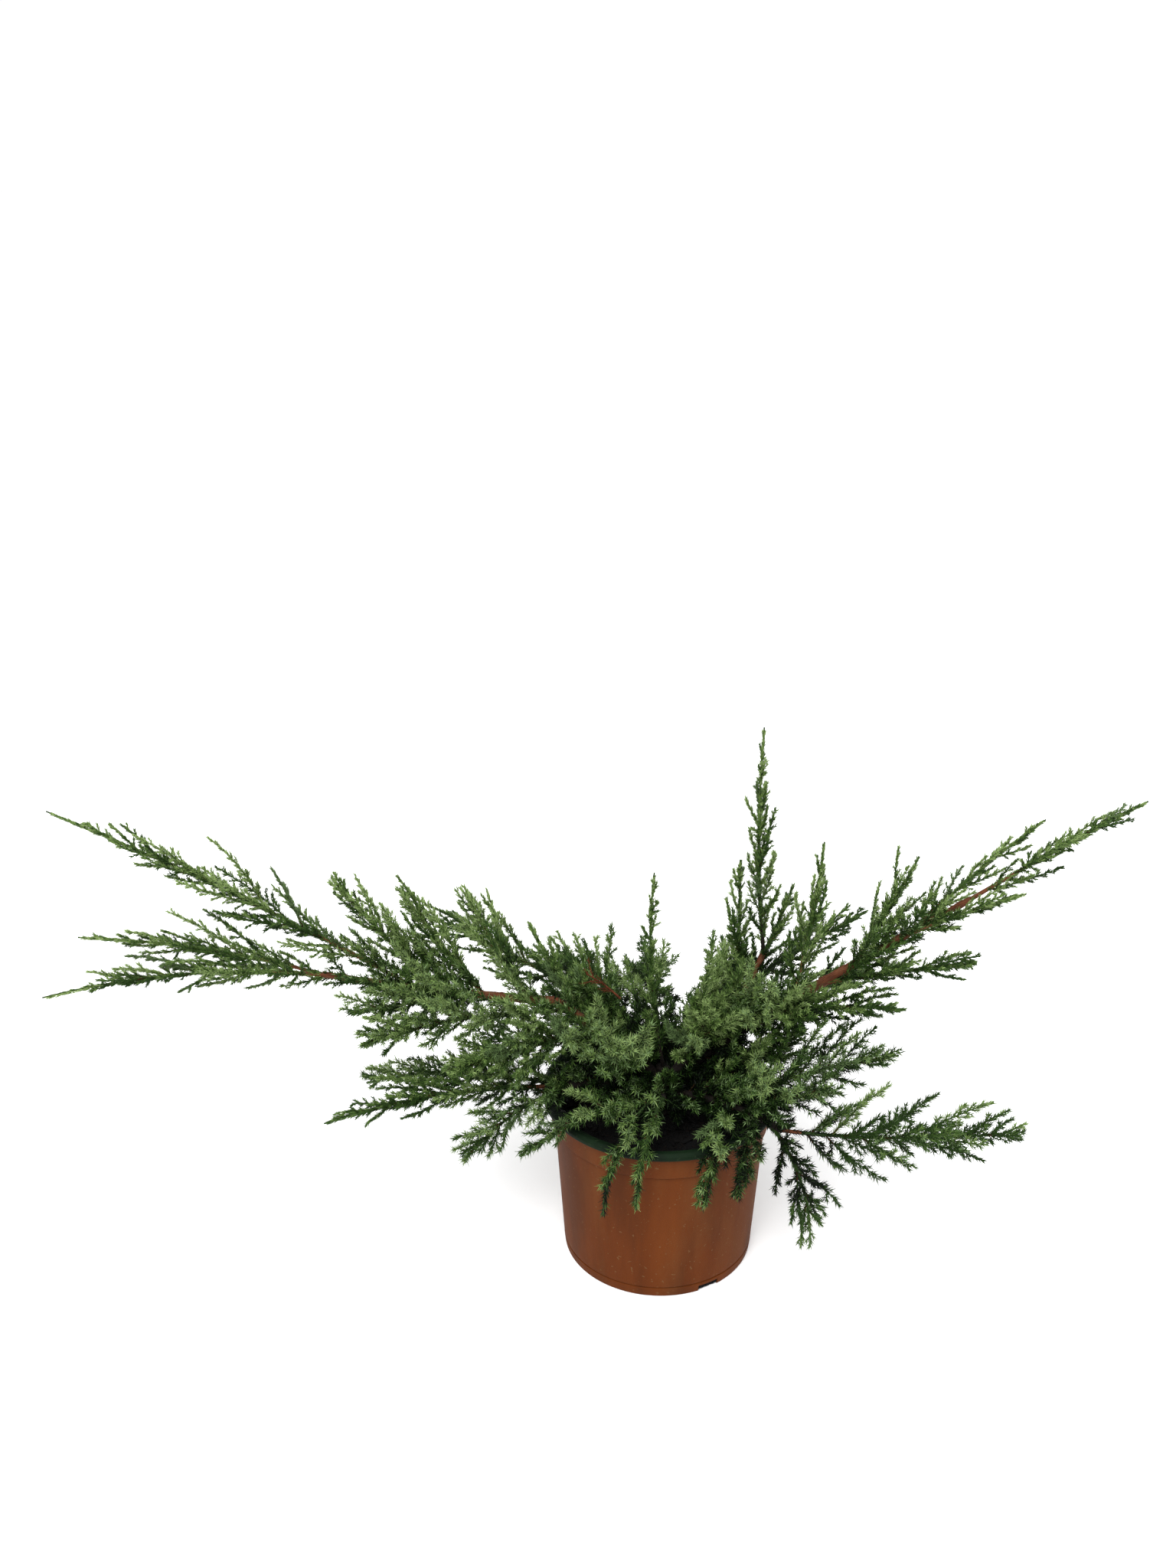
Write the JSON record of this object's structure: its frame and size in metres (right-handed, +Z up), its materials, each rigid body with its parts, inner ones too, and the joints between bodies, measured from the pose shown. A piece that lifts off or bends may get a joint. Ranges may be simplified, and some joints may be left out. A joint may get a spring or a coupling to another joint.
{
  "type": "spreading juniper in a nursery pot",
  "caption": "Spreading evergreen juniper with long arching plumes of needle foliage, growing in a round tapered plastic nursery pot with a rolled green lip.",
  "frame": {"origin": "centre of the flat underside of the pot", "axes": "+Z up; +X along the widest spread of the crown, to the right seen from the front; -Y towards the front"},
  "size_m": [1.1909, 0.4894, 0.6301],
  "materials": {
    "terracotta_plastic": "moulded terracotta-coloured plastic, slightly worn and dusty",
    "green_plastic": "moulded dark green plastic",
    "potting_mix": "damp composted bark and peat",
    "bark": "flaky reddish brown bark",
    "foliage": "short awl-shaped evergreen needles, mid green"
  },
  "bodies": {
    "root": {"back_left_bough": "bark", "back_low_bough": "bark", "back_right_bough": "bark", "foliage_back_left": "foliage", "foliage_back_left_fan": "foliage", "foliage_back_low": "foliage", "foliage_back_low_left": "foliage", "foliage_back_low_right": "foliage", "foliage_back_right": "foliage", "foliage_back_right_fan": "foliage", "foliage_centre_left": "foliage", "foliage_front_far_left": "foliage", "foliage_front_far_right": "foliage", "foliage_front_left": "foliage", "foliage_front_middle": "foliage", "foliage_front_right": "foliage", "foliage_left_fan_inner": "foliage", "foliage_left_fan_middle": "foliage", "foliage_left_fan_outer": "foliage", "foliage_left_fan_root": "foliage", "foliage_left_front": "foliage", "foliage_left_lower": "foliage", "foliage_left_tip": "foliage", "foliage_left_under_inner": "foliage", "foliage_left_under_outer": "foliage", "foliage_left_upper": "foliage", "foliage_low_left_drop": "foliage", "foliage_low_left_tip": "foliage", "foliage_low_left_upper": "foliage", "foliage_low_right_drop": "foliage", "foliage_low_right_tip": "foliage", "foliage_mound_front": "foliage", "foliage_mound_left": "foliage", "foliage_mound_low_right": "foliage", "foliage_mound_middle": "foliage", "foliage_mound_right": "foliage", "foliage_right_front": "foliage", "foliage_right_parallel": "foliage", "foliage_right_side_back": "foliage", "foliage_right_side_low": "foliage", "foliage_right_side_lower": "foliage", "foliage_right_side_upper": "foliage", "foliage_right_spire": "foliage", "foliage_right_tip": "foliage", "foliage_right_under": "foliage", "foliage_right_upper_middle": "foliage", "foliage_spire": "foliage", "foliage_spire_left": "foliage", "foliage_spire_right": "foliage", "front_bough": "bark", "left_bough": "bark", "left_riser": "bark", "low_left_bough": "bark", "low_right_bough": "bark", "pot_lip": "green_plastic", "pot_wall": "terracotta_plastic", "potting_mix": "potting_mix", "right_bough": "bark", "spire_bough": "bark", "stem": "bark"}
  },
  "joints": []
}
